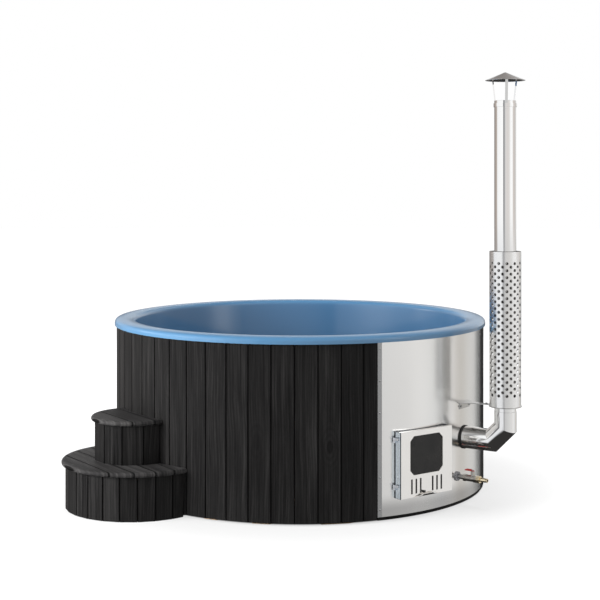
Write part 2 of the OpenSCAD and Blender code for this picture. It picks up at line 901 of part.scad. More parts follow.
module slide_knob() {
    y = door_y - door_t - fit;
    color("black")
    translate([knob_x, -y, knob_z]) rotate([90, 0, 0]) {
        cylinder(r = knob_stem_r, h = door_t + 3 * fit + knob_len, $fn = fine_fn);
        translate([0, 0, door_t + 3 * fit]) cylinder(r = knob_r, h = knob_len, $fn = fine_fn);
    }
}

// Black ring that closes the hole in the panel round the flue
module flue_seal() {
    color("black")
    difference() {
        outwards(flue_az, tub_r - seal_w, flue_z)
            cylinder(r = elbow_r + seal_proud, h = 2 * seal_w, $fn = fine_fn);
        outwards(flue_az, tub_r - 2 * seal_w, flue_z)
            cylinder(r = elbow_r + fit, h = 4 * seal_w, $fn = fine_fn);
        translate([0, 0, flue_z - 2 * flue_r]) cylinder(r = tub_r, h = 4 * flue_r, $fn = wall_fn);
    }
}

// What lies past a mitre plane that leans by the given angle
module past_mitre(lean, sign = 1) {
    wide = 4 * flue_r;
    rotate([lean, 0, 0]) translate([-wide, -wide, sign > 0 ? 0 : -2 * wide]) cube(2 * wide);
}

// Three tubes that meet on two mitres
module flue_elbow() {
    reach = flue_d - smoke_out_r + smoke_t;
    straight = reach - elbow_leg;
    slant = elbow_leg * sqrt(2);
    wide = 2 * flue_r;
    color("silver")
    outwards(flue_az, smoke_out_r - smoke_t, flue_z) {
        // Level run out of the smoke box
        difference() {
            tube(elbow_r, flue_t, straight + wide);
            translate([0, 0, straight]) past_mitre(-22.5);
        }
        // Slanted piece between the two mitres
        translate([0, 0, straight]) rotate([-45, 0, 0])
            difference() {
                translate([0, 0, -wide]) tube(elbow_r, flue_t, slant + 2 * wide);
                past_mitre(22.5, -1);
                translate([0, 0, slant]) past_mitre(-22.5);
            }
        // Upright run up to the flue pipe
        translate([0, elbow_leg, reach]) rotate([-90, 0, 0])
            difference() {
                translate([0, 0, -wide]) tube(elbow_r, flue_t, elbow_rise - elbow_leg + wide);
                past_mitre(22.5, -1);
            }
    }
}

// Straight pipe whose lower end stands inside the elbow
module flue_pipe() {
    color("silver")
    upright(flue_az, flue_d, elbow_top - socket)
        tube(flue_r, flue_t, flue_top - elbow_top + socket, round_fn);
}

// Sleeve with staggered columns of holes, which keeps hands off the hot pipe
module flue_guard() {
    color("silver")
    upright(flue_az, flue_d, guard_z)
        difference() {
            tube(guard_r, guard_t, guard_h, round_fn);
            for (column = [0:hole_columns - 1], row = [0:hole_rows - 1 - column % 2])
                outwards(column * 360 / hole_columns, guard_r - guard_t - over,
                         guard_first + (row + column % 2 / 2) * hole_pitch)
                    cylinder(r = hole_r, h = guard_t + 2 * over, $fn = fine_fn);
        }
}

// Spacers that keep the top of the guard off the pipe
module guard_spacers() {
    wide = guard_r - guard_t;
    color("silver")
    upright(flue_az, flue_d, guard_z + guard_h - spacer_drop)
        for (i = [0:2])
            intersection() {
                tube(wide, wide - flue_r, spacer_h, round_fn);
                rotate([0, 0, strap_turn + 120 * i]) translate([-spacer_w / 2, -2 * wide, 0])
                    cube([spacer_w, 2 * wide, spacer_h]);
            }
}

module cap_straps() {
    foot_z = flue_top - strap_foot;
    bend_z = flue_top - bend_drop;
    color("silver")
    upright(flue_az, flue_d)
        for (i = [0:2])
            rotate([0, 0, strap_turn + 120 * i]) translate([strap_w / 2, 0, 0]) rotate([90, 0, -90])
                linear_extrude(strap_w)
                    polygon([
                        [flue_r, foot_z], [flue_r + strap_t, foot_z], [flue_r + strap_t, bend_z],
                        [strap_top_r, strap_z(strap_top_r) - strap_t],
                        [strap_top_r + strap_tab, strap_z(strap_top_r + strap_tab) - strap_t],
                        [strap_top_r + strap_tab, strap_z(strap_top_r + strap_tab)],
                        [strap_top_r - strap_t, strap_z(strap_top_r - strap_t)], [flue_r, bend_z]
                    ]);
}

module cap_band() {
    color("silver")
    upright(flue_az, flue_d, flue_top - band_drop)
        tube(norm([flue_r + strap_t, strap_w / 2]) + band_t, band_t, band_w, round_fn);
}

module rain_cap() {
    color("silver")
    upright(flue_az, flue_d, cap_brim_z)
        rotate_extrude($fn = round_fn)
            polygon([[0, cap_h], [cap_r, 0], [cap_r, -cap_t], [0, cap_h - cap_t]]);
}

// Flat arm from the panel to the flue, with a foot against the panel and a ring round the pipe
module chimney_bracket() {
    arm_end = flue_out;
    color("silver")
    difference() {
        union() {
            upright(flue_az, tub_r, bracket_z) linear_extrude(bracket_t) {
                polygon([
                    [-foot_w / 2, over], [-foot_w / 2, -bracket_t], [-arm_w / 2, -foot_reach],
                    [-arm_w / 2, -arm_end], [arm_w / 2, -arm_end], [arm_w / 2, -foot_reach],
                    [foot_w / 2, -bracket_t], [foot_w / 2, over]
                ]);
                translate([0, -arm_end]) circle(r = guard_r + ring_rim, $fn = round_fn);
            }
            upright(flue_az, 0)
                intersection() {
                    translate([-foot_w / 2, -tub_r - foot_h, bracket_z - foot_h])
                        cube([foot_w, 2 * foot_h, foot_h + bracket_t]);
                    translate([0, 0, bracket_z - foot_h])
                        cylinder(r = tub_r + bracket_t, h = foot_h + bracket_t, $fn = wall_fn);
                }
        }
        cylinder(r = tub_r, h = guard_z + over, $fn = wall_fn);
        upright(flue_az, flue_d, bracket_z - over)
            cylinder(r = flue_r + fit, h = bracket_t + 2 * over, $fn = round_fn);
    }
}

// Two bolts through the foot and one through the arm
module bracket_bolts() {
    color("dimgray") {
        for (side = [-1, 1])
            outwards(flue_az + side * asin(foot_bolt / tub_r), tub_r + bracket_t, bracket_z - foot_drop)
                cylinder(r = bolt_head_r, h = bolt_head_t, $fn = 6);
        upright(flue_az, arm_bolt_d, guard_z) cylinder(r = bolt_head_r, h = bolt_head_t, $fn = 6);
    }
}

// Pipe under the bench, from the foot well to the panel
module drain_tube() {
    color("lightgray")
    outwards(drain_az, well_r, drain_z) tube(drain_tube_r, drain_tube_t, tub_r - panel_t / 2 - well_r);
}

module drain_strainer() {
    color("silver")
    well_plate(drain_az, drain_z, drain_tube_r + grille_t, grille_hole_r / 2);
}

module drain_flange() {
    color("gray")
    difference() {
        outwards(drain_az, tub_r - 2 * flange_t, drain_z)
            cylinder(r = flange_r, h = 3 * flange_t, $fn = fine_fn);
        translate([0, 0, drain_z - 2 * flange_r]) cylinder(r = tub_r, h = 4 * flange_r, $fn = wall_fn);
        outwards(drain_az, tub_r - 2 * flange_t, drain_z)
            cylinder(r = drain_r + fit, h = 4 * flange_t, $fn = fine_fn);
    }
}

module drain_nipple() {
    color("silver")
    outwards(drain_az, tub_r, drain_z) tube(drain_r, drain_tube_t, nipple_len);
}

// Plug valve with a hexagon at each end and a neck round the plug
module valve_body() {
    color("dimgray")
    outwards(drain_az, tub_r + nipple_len, drain_z)
        difference() {
            union() {
                cylinder(r = hex_r, h = hex_len, $fn = 6);
                cylinder(r = body_r, h = body_len, $fn = fine_fn);
                translate([0, 0, body_len - hex_len]) cylinder(r = hex_r, h = hex_len, $fn = 6);
                translate([0, 0, stem_place]) rotate([-90, 0, 0])
                    cylinder(r = plug_r + neck_t, h = lever_z - fit, $fn = fine_fn);
            }
            translate([0, 0, -over]) cylinder(r = tail_bore, h = body_len + 2 * over, $fn = fine_fn);
            translate([0, -plug_below - fit, stem_place]) rotate([-90, 0, 0])
                cylinder(r = plug_r + run_fit, h = 2 * lever_z, $fn = fine_fn);
        }
}

// Plug whose bore lies in line with the pipe when the valve is open
module valve_plug() {
    color("gainsboro")
    outwards(drain_az, tub_r + nipple_len + stem_place, drain_z)
        difference() {
            union() {
                translate([0, -plug_below, 0]) rotate([-90, 0, 0])
                    cylinder(r = plug_r, h = plug_below + lever_z, $fn = fine_fn);
                rotate([-90, 0, 0]) cylinder(r = stem_r, h = lever_z + lever_t + nut_h, $fn = fine_fn);
            }
            translate([0, 0, -2 * plug_r]) cylinder(r = plug_bore, h = 4 * plug_r, $fn = fine_fn);
        }
}

// Lever with folded sides, which points back along the pipe when the valve is open
module valve_lever() {
    hub = lever_w / 2;
    color("red")
    outwards(drain_az, tub_r + nipple_len + stem_place, drain_z)
        translate([0, lever_z, 0]) rotate([-90, 0, 0])
            difference() {
                union() {
                    cylinder(r = hub, h = lever_t, $fn = fine_fn);
                    translate([-hub, 0, 0]) cube([lever_w, lever_len - hub, lever_t]);
                    translate([0, lever_len - hub, 0]) cylinder(r = hub, h = lever_t, $fn = fine_fn);
                    for (side = [-1, 1])
                        translate([side * (hub - lever_t / 2) - lever_t / 2, hub, 0])
                            cube([lever_t, lever_len - 2 * hub, lever_lip]);
                }
                translate([0, 0, -over]) cylinder(r = stem_r, h = lever_t + 2 * over, $fn = fine_fn);
            }
}

module lever_nut() {
    color("gainsboro")
    outwards(drain_az, tub_r + nipple_len + stem_place, drain_z)
        translate([0, lever_z + lever_t, 0]) rotate([-90, 0, 0])
            difference() {
                cylinder(r = nut_r, h = nut_h - fit, $fn = 6);
                translate([0, 0, -over]) cylinder(r = stem_r, h = nut_h + 2 * over, $fn = fine_fn);
            }
}

// Brass tail with a union nut and rings that grip the hose
module hose_tail() {
    rings = floor((tail_len - tail_hex_len) / barb_pitch);
    color("goldenrod")
    outwards(drain_az, tub_r + nipple_len + body_len, drain_z)
        difference() {
            union() {
                cylinder(r = hex_r, h = tail_hex_len, $fn = 6);
                cylinder(r = tail_r, h = tail_len, $fn = fine_fn);
                for (i = [1:rings - 2])
                    translate([0, 0, tail_hex_len + i * barb_pitch])
                        cylinder(r1 = tail_r + barb_r, r2 = tail_r, h = barb_pitch - barb_r, $fn = fine_fn);
            }
            translate([0, 0, -over]) cylinder(r = tail_bore, h = tail_len + 2 * over, $fn = fine_fn);
        }
}

// What the wall of the tub takes out of a piece of the steps
module wall_cut() {
    translate([0, 0, -over]) cylinder(r = wall_cut_r, h = rim_z, $fn = wall_fn);
}

module step_frame(r, d, z0, z1) {
    rib_r = r - stave_t;
    difference() {
        for (z = [z0, z1 - rib_t])
            upright(step_az, d, z) tube(rib_r, rib_w, rib_t, round_fn);
        wall_cut();
    }
}

// Upright staves round the part of a drum that stands outside the wall
module step_staves(r, d, count, z0, z1) {
    turn = 360 / count;
    side = ceil(open_half(r, d) / turn - 0.6);
    in_face = r - stave_t;
    half_in = in_face * tan(turn / 2) - board_gap / 2;
    half_out = (r - bevel) * tan(turn / 2) - board_gap / 2;
    difference() {
        upright(step_az, d, z0)
            for (i = [-side:side])
                rotate([0, 0, i * turn]) linear_extrude(z1 - z0)
                    polygon([
                        [-half_in, -in_face], [-half_out, -r + bevel], [-half_out + bevel, -r],
                        [half_out - bevel, -r], [half_out, -r + bevel], [half_in, -in_face]
                    ]);
        wall_cut();
    }
}

// Round-nosed tread with grooves between its planks
module tread(r, d, top, planks) {
    nose = tread_t / 2;
    edge_r = r + tread_nose;
    difference() {
        upright(step_az, d, top - tread_t)
            rotate_extrude($fn = round_fn) union() {
                square([edge_r - nose, tread_t]);
                translate([edge_r - nose, nose]) intersection() {
                    circle(r = nose, $fn = fine_fn);
                    translate([0, -nose]) square([nose, tread_t]);
                }
            }
        wall_cut();
        for (i = [1:planks - 1])
            upright(step_az, d + edge_r * i / planks, top - groove_d)
                translate([-edge_r, -groove_w / 2, 0]) cube([2 * edge_r, groove_w, groove_d + over]);
    }
}

module low_step_frame() {
    color("sienna") step_frame(low_r, tub_r, 0, low_z - tread_t);
}

module low_step_staves() {
    color("dimgray") step_staves(low_r, tub_r, low_staves, 0, low_z - tread_t);
}

module low_tread() {
    color("dimgray") tread(low_r, tub_r, low_z, low_planks);
}

module high_step_frame() {
    color("sienna") step_frame(high_r, high_d, low_z, high_z - tread_t);
}

module high_step_staves() {
    color("dimgray") step_staves(high_r, high_d, high_staves, low_z, high_z - tread_t);
}

module high_tread() {
    color("dimgray") tread(high_r, high_d, high_z, high_planks);
}

floor_joists();
floor_insulation();
lower_hoop();
middle_hoop();
upper_hoop();
plinth_strip();
panel_battens();
cladding_boards();
tub_liner();
steel_panel();
panel_trims();
panel_screws();
stove_stand();
fire_chamber();
water_jacket();
smoke_box();
fire_grate();
ash_pan();
water_pipes();
water_grilles();
door_frame();
hinge_leaves();
hinge_pins();
door_catch();
door_panel();
door_knuckles();
window_seal();
window_glass();
window_retainer();
door_rope_seal();
door_lip();
door_striker();
slide_rails();
air_slide();
slide_knob();
flue_seal();
flue_elbow();
flue_pipe();
flue_guard();
guard_spacers();
cap_band();
cap_straps();
rain_cap();
chimney_bracket();
bracket_bolts();
drain_tube();
drain_strainer();
drain_flange();
drain_nipple();
valve_body();
valve_plug();
valve_lever();
lever_nut();
hose_tail();
low_step_frame();
low_step_staves();
low_tread();
high_step_frame();
high_step_staves();
high_tread();
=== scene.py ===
import bpy, json
from contextlib import contextmanager
from math import atan2, cos, pi, radians, sin, tan
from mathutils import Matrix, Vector

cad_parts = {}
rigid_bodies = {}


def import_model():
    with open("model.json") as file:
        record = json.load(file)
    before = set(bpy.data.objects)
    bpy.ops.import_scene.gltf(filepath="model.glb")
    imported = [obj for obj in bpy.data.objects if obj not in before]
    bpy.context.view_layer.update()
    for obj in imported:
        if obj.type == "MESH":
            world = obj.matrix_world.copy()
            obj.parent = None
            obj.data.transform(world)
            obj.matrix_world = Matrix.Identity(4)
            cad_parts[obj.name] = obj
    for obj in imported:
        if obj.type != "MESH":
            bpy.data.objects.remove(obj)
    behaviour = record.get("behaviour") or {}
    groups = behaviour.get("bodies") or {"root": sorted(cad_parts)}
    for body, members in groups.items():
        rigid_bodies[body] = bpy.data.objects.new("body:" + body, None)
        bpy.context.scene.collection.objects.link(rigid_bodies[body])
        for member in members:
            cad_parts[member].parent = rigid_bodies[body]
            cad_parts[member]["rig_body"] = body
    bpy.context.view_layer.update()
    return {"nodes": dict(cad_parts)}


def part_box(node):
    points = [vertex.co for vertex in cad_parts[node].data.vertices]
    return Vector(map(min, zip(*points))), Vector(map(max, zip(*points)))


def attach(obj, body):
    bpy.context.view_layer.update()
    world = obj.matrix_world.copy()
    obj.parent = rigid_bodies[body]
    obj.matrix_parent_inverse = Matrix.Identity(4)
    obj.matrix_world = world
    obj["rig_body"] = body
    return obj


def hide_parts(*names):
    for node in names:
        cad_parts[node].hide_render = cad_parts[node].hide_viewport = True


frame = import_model()
NODES = frame["nodes"]


def centre_of(turn, d):
    """The place at a distance from the tub's middle. A turn of 0 is the door's side, and pi / 2 is +X."""
    return sin(turn) * d, -cos(turn) * d


# Sizes from the part's source, in metres and radians
TUB_R = 1.100
BOARD_COUNT = 56
CLAD_TURN = radians(189.7)
RIM_R, RIM_FOOT, RIM_EDGE = 1.1115, 0.952, 0.98398
CROWN_R, CROWN_Z, MOUTH_R = 1.051, 0.99574, 0.9905
BENCH_R, BENCH_Z, WELL_R, WELL_Z = 0.9505, 0.500, 0.670, 0.120
LINER_T = 0.008
FLUE_TURN, FLUE_D = radians(20), 1.348
FLUE = centre_of(FLUE_TURN, FLUE_D)
FLUE_R, FLUE_T, FLUE_FOOT, FLUE_TOP = 0.0600, 0.0015, 0.500, 2.2490
ELBOW_R, ELBOW_Z, ELBOW_CUT = 0.0618, 0.372, 0.079
ELBOW_START, ELBOW_TOP = 1.005, 0.540
GUARD_R, GUARD_T, GUARD_FOOT, GUARD_TOP = 0.087, 0.0015, 0.570, 1.420
HOLE_R, HOLE_PITCH, HOLE_COLUMNS, HOLE_ROWS, HOLE_FIRST = 0.0085, 0.038, 24, 20, 0.6345
DOOR_SIDE = -0.186
STEP_TURN = radians(-92.5)
LOW_STEP_D, LOW_STEP_R, LOW_STAVE_COUNT, LOW_PLANK = 1.100, 0.397, 26, 0.10525
HIGH_STEP_D, HIGH_STEP_R, HIGH_STAVE_COUNT, HIGH_PLANK = 1.120, 0.217, 12, 0.1205

# The stain, by how light the grain is
STAIN = ((0.08, (0.0028, 0.0027, 0.0028)), (0.48, (0.0085, 0.0082, 0.0082)), (0.98, (0.0235, 0.0227, 0.0224)))
# Near black in the joints: thick stain there, and painted shade in the grooves
JOINT_STAIN_AND_SHADE = (0.0008, 0.0008, 0.0008)


# Finishes
class Wire:
    """A value in a finish. Sums on it add their own maths."""

    def __init__(self, finish, socket):
        self.finish, self.socket = finish, socket

    def sum(self, operation, *values):
        return self.finish.add("ShaderNodeMath", {"operation": operation}, dict(enumerate(values)))

    def __add__(self, other): return self.sum("ADD", self, other)
    def __radd__(self, other): return self.sum("ADD", other, self)
    def __sub__(self, other): return self.sum("SUBTRACT", self, other)
    def __rsub__(self, other): return self.sum("SUBTRACT", other, self)
    def __mul__(self, other): return self.sum("MULTIPLY", self, other)
    def __truediv__(self, other): return self.sum("DIVIDE", self, other)
    def __pow__(self, other): return self.sum("POWER", self, other)
    def __neg__(self): return self.sum("MULTIPLY", self, -1)
    def __abs__(self): return self.sum("ABSOLUTE", self)

    def floor(self): return self.sum("FLOOR", self)
    def sin(self): return self.sum("SINE", self)
    def most(self, other): return self.sum("MAXIMUM", self, other)

    def ramp(self, low, high, start=0, end=1):
        """start where this value is at low, end where it is at high, and smooth between."""
        return self.finish.add("ShaderNodeMapRange", {"interpolation_type": "SMOOTHSTEP"},
                               {"Value": self, "From Min": low, "From Max": high, "To Min": start, "To Max": end})


class Finish:
    """One material, made of a surface shader and the patterns that feed it."""

    def __init__(self, name, **surface):
        self.material = bpy.data.materials.new(name)
        self.material.use_nodes = True
        self.tree = self.material.node_tree
        self.tree.nodes.clear()
        self.out = self.tree.nodes.new("ShaderNodeOutputMaterial")
        self.shader = self.tree.nodes.new("ShaderNodeBsdfPrincipled")
        self.tree.links.new(self.shader.outputs[0], self.out.inputs[0])
        self.set(**surface)

    def put(self, socket, value):
        if isinstance(value, Wire):
            self.tree.links.new(value.socket, socket)
        elif isinstance(value, (tuple, list)) and len(value) == 3 and socket.type == "RGBA":
            socket.default_value = (*value, 1)
        else:
            socket.default_value = value

    def set(self, **surface):
        for key, value in surface.items():
            self.put(self.shader.inputs[key.replace("_", " ")], value)

    def add(self, kind, settings=None, values=None, out=0):
        node = self.tree.nodes.new(kind)
        for key, value in (settings or {}).items():
            if key == "stops":
                elements = node.color_ramp.elements
                while len(elements) > 1:
                    elements.remove(elements[-1])
                for i, (place, colour) in enumerate(value):
                    stop = elements[0] if i == 0 else elements.new(place)
                    stop.position, stop.color = place, (*colour, 1)
            else:
                setattr(node, key, value)
        for key, value in (values or {}).items():
            self.put(node.inputs[key], value)
        return Wire(self, node.outputs[out])

    def place(self, kind="Object"):
        """Coordinates of a kind, split into x, y and z."""
        where = self.add("ShaderNodeTexCoord", out=kind)
        node = self.tree.nodes.new("ShaderNodeSeparateXYZ")
        self.tree.links.new(where.socket, node.inputs[0])
        return [Wire(self, s) for s in node.outputs]

    def span(self, x, y, centre=(0, 0)):
        """How far a place is from an upright axis."""
        x, y = x - centre[0], y - centre[1]
        return (x * x + y * y) ** 0.5

    def turn(self, x, y):
        """The angle of a place round the upright axis, 0 at the door's side."""
        return self.add("ShaderNodeMath", {"operation": "ARCTAN2"}, {0: x, 1: -y})

    def rays(self):
        """1 for the camera's own rays, and 1 for mirrored ones."""
        path = self.tree.nodes.new("ShaderNodeLightPath")
        return [Wire(self, path.outputs[kind]) for kind in ("Is Camera Ray", "Is Glossy Ray")]

    def vector(self, x=0, y=0, z=0):
        return self.add("ShaderNodeCombineXYZ", None, {0: x, 1: y, 2: z})

    def noise(self, vector, scale=1.0, detail=4.0, rough=0.5):
        return self.add("ShaderNodeTexNoise", None, {"Vector": vector, "Scale": scale, "Detail": detail,
                                                     "Roughness": rough}, "Fac")

    def random(self, value):
        return self.add("ShaderNodeTexWhiteNoise", {"noise_dimensions": "1D"}, {"W": value}, "Value")

    def mix(self, share, a, b):
        node = self.tree.nodes.new("ShaderNodeMix")
        node.data_type = "RGBA"
        self.put(node.inputs["Factor"], share)
        self.put(node.inputs[6], a)
        self.put(node.inputs[7], b)
        return Wire(self, node.outputs[2])

    def ramp(self, value, *stops):
        return self.add("ShaderNodeValToRGB", {"stops": stops}, {0: value}, "Color")

    def join(self, kind, a, b, share=None):
        """Two shaders added or mixed."""
        node = self.tree.nodes.new(kind)
        if share is not None:
            self.put(node.inputs[0], share)
        self.tree.links.new(a.socket, node.inputs[-2])
        self.tree.links.new(b.socket, node.inputs[-1])
        return Wire(self, node.outputs[0])

    def bump(self, height, depth, strength=1.0):
        """A bump whose height of 1 stands that many metres proud."""
        self.set(Normal=self.add("ShaderNodeBump", None, {"Height": height, "Distance": depth,
                                                          "Strength": strength}, "Normal"))


def stained_wood(across, along, board, half, tone):
    """Dark stained planks. across and along are metres on the plank, board tells one plank from the next, and half is
    half its width. A higher tone is a paler stain."""
    f = across.finish
    shade = f.random(board)
    shift = f.random(board + 17.3) * 31
    # Knots, with the grain running round them
    cell = f.vector(across * 5.2 + shift, along * 2.4 + shift, board * 3.1)
    voronoi = f.tree.nodes.new("ShaderNodeTexVoronoi")
    voronoi.inputs["Scale"].default_value = 1.0
    voronoi.inputs["Randomness"].default_value = 0.85
    f.tree.links.new(cell.socket, voronoi.inputs["Vector"])
    near = Wire(f, voronoi.outputs["Distance"])
    some = f.random(Wire(f, voronoi.outputs["Color"]) * 9.1)
    there = some.ramp(0.78, 0.82)
    swirl = near.ramp(0.42, 0.16) * there
    knot = near.ramp(0.10, 0.06) * there
    # Streaks of the grain
    bend = (f.noise(f.vector(across * 3 + shift, along * 1.3, shift), 1.0, 2.0) - 0.5) * 0.05
    streak = f.noise(f.vector((across + bend) * 62 + shift, along * 1.7, shift), 1.0, 6.0, 0.66) - 0.5
    fibre = f.noise(f.vector(across * 330 + shift, along * 7, shift), 1.0, 3.0, 0.6) - 0.5
    broad = f.noise(f.vector((across + bend) * 13 + shift, along * 0.8, shift), 1.0, 3.0, 0.5) - 0.5
    year = ((across + bend) * 430 + broad * 18 + shift).sin() * 0.5
    rings = (near * 74 + broad * 8).sin() * swirl
    grain = streak * 1.45 + fibre * 0.45 + broad * 0.5 + (year * 0.16) * (1 - swirl) + rings * 0.05
    value = grain + 0.5 + (shade - 0.5) * 0.10 - knot * 0.25
    colour = f.ramp(value, *[(share, [c * tone for c in stain]) for share, stain in STAIN])
    # The joints are darker: the stain is thick in them, and painted shade fills the grooves
    joint_stain_and_shade = (half - abs(across)).ramp(0.0058, 0.0030)
    f.set(Base_Color=f.mix(joint_stain_and_shade * 0.93, colour, JOINT_STAIN_AND_SHADE), Roughness=0.55 + streak * 0.3 - knot * 0.1)
    f.bump(grain * 0.6 - knot * 0.5, 0.0014)
    return f


def wood_round(name, centre, count, turn, radius):
    """Upright staves round a centre, so many to a full turn."""
    f = Finish(name, Specular_IOR_Level=0.10)
    x, y, z = f.place()
    pitch = 2 * pi / count
    place = (f.turn(x - centre[0], y - centre[1]) - turn) / pitch + 0.5
    board = place.floor()
    across = (place - board - 0.5) * pitch * radius
    return stained_wood(across, z, board + 40, pitch * radius / 2, 1.0)


def wood_flat(name, turn, width, start, tone):
    """Planks that lie flat, side by side outwards from the tub, the first one at the start."""
    f = Finish(name, Specular_IOR_Level=0.10)
    x, y, z = f.place()
    out = x * sin(turn) - y * cos(turn)
    side = x * cos(turn) + y * sin(turn)
    place = (out - start) / width
    board = place.floor()
    across = (place - board - 0.5) * width
    return stained_wood(across, side, board + 80, width / 2, tone)


def metal(name, colour, rough, bands=0.0, smudge=0.08, brushed=None, depth=0.00004):
    """Steel with soft smudges and fine brush lines along one direction."""
    f = Finish(name, Metallic=1.0)
    x, y, z = f.place()
    spot = f.noise(f.vector(x, y, z), 7.0, 5.0, 0.55)
    fine = f.noise(f.vector(x, y, z), 60.0, 4.0, 0.6)
    if brushed == "up":
        line = f.noise(f.vector(x * 900, y * 900, z * 6), 1.0, 3.0, 0.6)
    elif brushed == "level":
        line = f.noise(f.vector(x * 6, y * 6, z * 1100), 1.0, 3.0, 0.6)
    else:
        line = f.noise(f.vector(x, y, z), 400.0, 3.0, 0.6)
    tone = (spot - 0.5) * smudge + (fine - 0.5) * smudge * 0.5 + (line - 0.5) * smudge * 0.6
    f.set(Base_Color=f.mix(tone + 0.5, [c * 0.86 for c in colour], [min(1, c * 1.12) for c in colour]),
          Roughness=rough + (spot - 0.5) * rough * 0.5 + (line - 0.5) * rough * 0.3)
    f.bump(line * 0.5 + fine * 0.2 + spot * bands, depth)
    return f


def altered(f, share, colour, rough):
    """The finish takes another colour and is rougher by an amount where the share is 1."""
    old = Wire(f, f.shader.inputs["Base Color"].links[0].from_socket)
    gloss = Wire(f, f.shader.inputs["Roughness"].links[0].from_socket)
    f.set(Base_Color=f.mix(share, old, colour), Roughness=gloss + share * rough)
    return f


def panel_painted_reflection(f):
    """Darker and a little rougher towards the ground: a painted reflection of the floor's shadow, with a wobbly upper
    edge.
    """
    x, y, z = f.place()
    shade_edge_wobble = f.noise(f.vector(x, y, z), 5.0, 4.0, 0.6) - 0.5
    # Painted reflection of the floor's shadow: the steel turns darker grey from 0.15 m down to 0.055 m
    return altered(f, (z + shade_edge_wobble * 0.02).ramp(0.15, 0.055, 0, 0.62) * z.ramp(0.34, 0.30), (0.30, 0.30, 0.30), 0.10)


def door_painted_light(f):
    """The folded side is tinted blue as a painted reflection, and painted shade darkens its bend and its edges by the
    panel.
    """
    x, y, z = f.place()
    # Painted reflection: the folded side is tinted blue
    side = x.ramp(DOOR_SIDE + 0.0012, DOOR_SIDE + 0.0004)
    f = altered(f, side, (0.86, 0.94, 1.0), 0.05)
    # Painted shade: dark lines in the bend, at the side's foot by the panel and along the top by the panel
    bend = x.ramp(DOOR_SIDE + 0.0032, DOOR_SIDE + 0.0022) * y.ramp(-1.1285, -1.1295)
    foot_shade = side * y.ramp(-1.0925, -1.0915)
    brow_shade = z.ramp(0.4715, 0.4722) * y.ramp(-1.115, -1.110)
    return altered(f, bend.most(foot_shade).most(brow_shade), (0.02, 0.025, 0.035), 0.2)


def guard_painted_shade(f):
    """Darker on the inner face of the sheet, which shows through its holes: painted shade."""
    x, y, z = f.place()
    inner = f.span(x, y, FLUE).ramp(GUARD_R - 0.0004, GUARD_R - 0.0012) * z.ramp(GUARD_TOP + 0.005, GUARD_TOP - 0.002)
    return altered(f, inner, (0.50, 0.49, 0.48), 0.20)


def pipe_painted_shade(f):
    """Darker behind the guard: painted shade."""
    x, y, z = f.place()
    behind_shade = z.ramp(GUARD_FOOT + 0.002, GUARD_FOOT + 0.030) * z.ramp(GUARD_TOP - 0.002, GUARD_TOP - 0.030)
    return altered(f, behind_shade, (0.46, 0.45, 0.44), 0.20)


def plastic(name, colour, rough, grain=500.0, depth=0.00005, coat=0.0):
    """Moulded plastic or paint with a faint grain."""
    f = Finish(name, Coat_Weight=coat, Coat_Roughness=0.05)
    x, y, z = f.place()
    spot = f.noise(f.vector(x, y, z), 9.0, 4.0, 0.5)
    fine = f.noise(f.vector(x, y, z), grain, 2.0, 0.5)
    f.set(Base_Color=f.mix(spot, [c * 0.94 for c in colour], [min(1, c * 1.06) for c in colour]),
          Roughness=rough + (fine - 0.5) * 0.08 + (spot - 0.5) * 0.06)
    f.bump(fine, depth)
    return f


def plain_softwood():
    f = Finish("plain_softwood")
    x, y, z = f.place()
    streak = f.noise(f.vector(x * 4, y * 60, z * 60), 1.0, 6.0, 0.6)
    f.set(Base_Color=f.ramp(streak, (0.3, (0.36, 0.22, 0.11)), (0.7, (0.62, 0.44, 0.27))), Roughness=0.6 + streak * 0.2)
    f.bump(streak, 0.0006)
    return f


def liner_with_painted_shade():
    """Blue glossy moulding, darker below the rim with painted shade inside the tub."""
    f = Finish("liner_blue", Coat_Weight=0.75, Coat_Roughness=0.10, Specular_IOR_Level=0.5)
    x, y, z = f.place()
    cloud = f.noise(f.vector(x, y, z), 3.0, 4.0, 0.5)
    fleck = f.noise(f.vector(x, y, z), 180.0, 2.0, 0.5)
    # Painted shade: the inside of the tub takes a darker blue
    inside = (x * x + y * y).ramp(1.00, 0.97)
    colour = f.mix(cloud, (0.045, 0.129, 0.236), (0.053, 0.146, 0.258))
    f.set(Base_Color=f.mix(inside, colour, f.mix(cloud, (0.028, 0.084, 0.166), (0.034, 0.096, 0.184))),
          Roughness=0.34 + (fleck - 0.5) * 0.06)
    f.bump(cloud * 0.7 + fleck * 0.02, 0.0008, 0.5)
    return f


def rope_finish():
    f = Finish("rope_seal", Roughness=0.9)
    x, y, z = f.place()
    twist = ((x + z) * 900).sin() * 0.5 + 0.5
    f.set(Base_Color=f.mix(twist, (0.28, 0.27, 0.25), (0.60, 0.58, 0.54)))
    f.bump(twist, 0.0008)
    return f


def glass_finish():
    f = Finish("dark_glass", Roughness=0.06, Specular_IOR_Level=0.30)
    x, y, z = f.place()
    soot = f.noise(f.vector(x, y, z), 14.0, 5.0, 0.6)
    f.set(Base_Color=f.ramp(soot, (0.3, (0.004, 0.004, 0.004)), (0.8, (0.016, 0.015, 0.014))),
          Roughness=0.06 + soot.ramp(0.5, 0.8) * 0.12)
    return f


def foam_finish():
    f = Finish("foam", Roughness=0.9)
    x, y, z = f.place()
    cell = f.noise(f.vector(x, y, z), 160.0, 4.0, 0.6)
    f.set(Base_Color=f.mix(cell, (0.62, 0.53, 0.28), (0.80, 0.72, 0.46)))
    f.bump(cell, 0.002)
    return f


